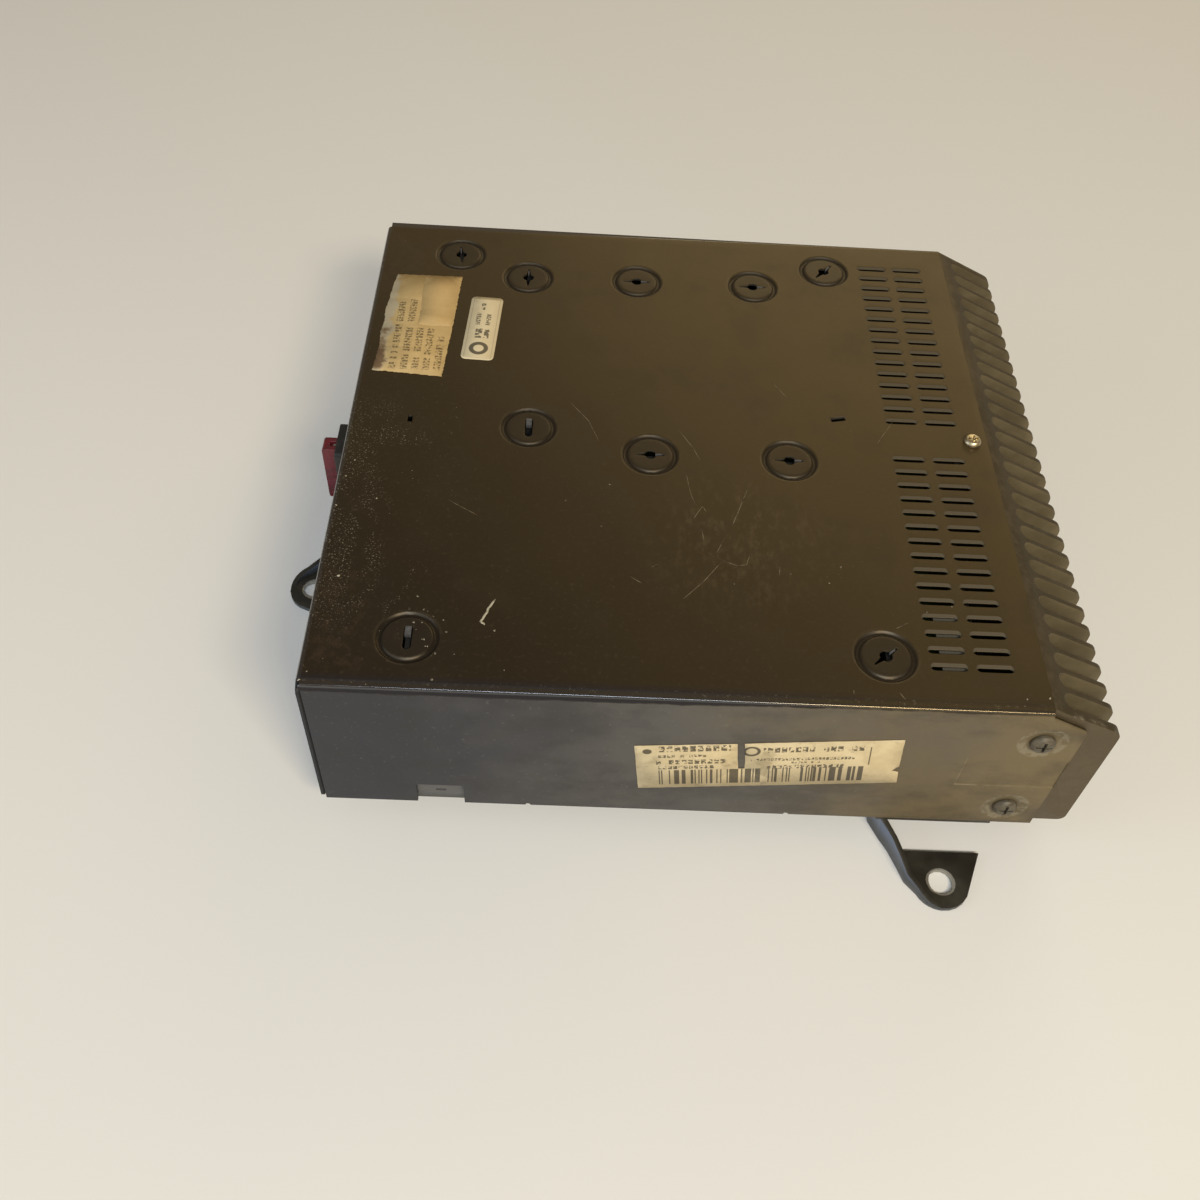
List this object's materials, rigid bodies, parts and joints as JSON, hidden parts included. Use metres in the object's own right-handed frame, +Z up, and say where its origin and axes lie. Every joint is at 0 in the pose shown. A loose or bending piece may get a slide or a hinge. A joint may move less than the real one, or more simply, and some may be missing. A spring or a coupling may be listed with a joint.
{
  "type": "car amplifier",
  "caption": "Flat steel-cased car audio amplifier with slotted top, finned heat sink down one side, plug sockets, a pull-out blade fuse and a bracket with bolt ears.",
  "frame": {"origin": "middle of the bounding box's bottom, on the plane of the three ears' undersides", "axes": "+Z up out of the top panel, +X from the sockets to the heat sink, +Y from the labelled front flange to the rear"},
  "size_m": [0.219, 0.2226, 0.0632],
  "materials": {
    "case_paint": "worn semi-gloss black-brown paint on sheet steel",
    "tray_paint": "semi-gloss black paint on sheet steel",
    "sink_paint": "black-painted die-cast aluminium, worn olive",
    "bracket_paint": "dark painted steel with worn edges",
    "paper": "aged printed label stock",
    "plated_steel": "zinc-plated steel",
    "black_zinc": "black zinc-plated steel",
    "brass": "yellow-passivated",
    "board": "glass-epoxy board with green lacquer",
    "black_plastic": "moulded black plastic",
    "red_plastic": "translucent red moulding",
    "capacitor_sleeve": "shrunk dark blue sleeve",
    "ferrite": "sintered ferrite",
    "copper_wire": "lacquered copper wire",
    "insulating_pad": "grey silicone pad",
    "insulating_card": "light insulating card"
  },
  "bodies": {
    "case": {"top_cover": "case_paint", "base_tray": "tray_paint", "heat_sink": "sink_paint", "mounting_bracket": "bracket_paint", "front_screw_upper": "black_zinc", "front_screw_lower": "black_zinc", "rear_screw_upper": "black_zinc", "rear_screw_lower": "black_zinc", "top_screw": "brass", "bracket_screw_1": "plated_steel", "bracket_screw_2": "plated_steel", "bracket_rivet_1": "plated_steel", "bracket_rivet_2": "plated_steel", "board_screw_1": "plated_steel", "board_screw_2": "plated_steel", "board_screw_3": "plated_steel", "board_screw_4": "plated_steel", "clamp_screw_1": "plated_steel", "clamp_screw_2": "plated_steel", "label_large": "paper", "label_small": "paper", "label_front": "paper", "left_frame": "plated_steel", "right_frame": "plated_steel", "shield_frame": "plated_steel", "main_board": "board", "preamp_board": "board", "board_spacer_1": "brass", "board_spacer_2": "brass", "board_spacer_3": "brass", "board_spacer_4": "brass", "power_chip_1": "black_plastic", "power_chip_2": "black_plastic", "power_chip_3": "black_plastic", "power_chip_4": "black_plastic", "insulating_pad": "insulating_pad", "insulating_card": "insulating_card", "clamp_bar": "plated_steel", "capacitor_1": "capacitor_sleeve", "capacitor_2": "capacitor_sleeve", "capacitor_3": "capacitor_sleeve", "choke_core": "ferrite", "choke_winding": "copper_wire", "relay": "black_plastic", "signal_socket": "black_plastic", "power_socket": "black_plastic", "fuse_holder": "black_plastic"},
    "fuse": {"fuse_body": "red_plastic", "fuse_strip": "plated_steel"}
  },
  "joints": [
    {"name": "fuse_pull", "type": "slide", "parent": "case", "child": "fuse", "axis": [-1, 0, 0], "range_m": [0, 0.02]}
  ]
}
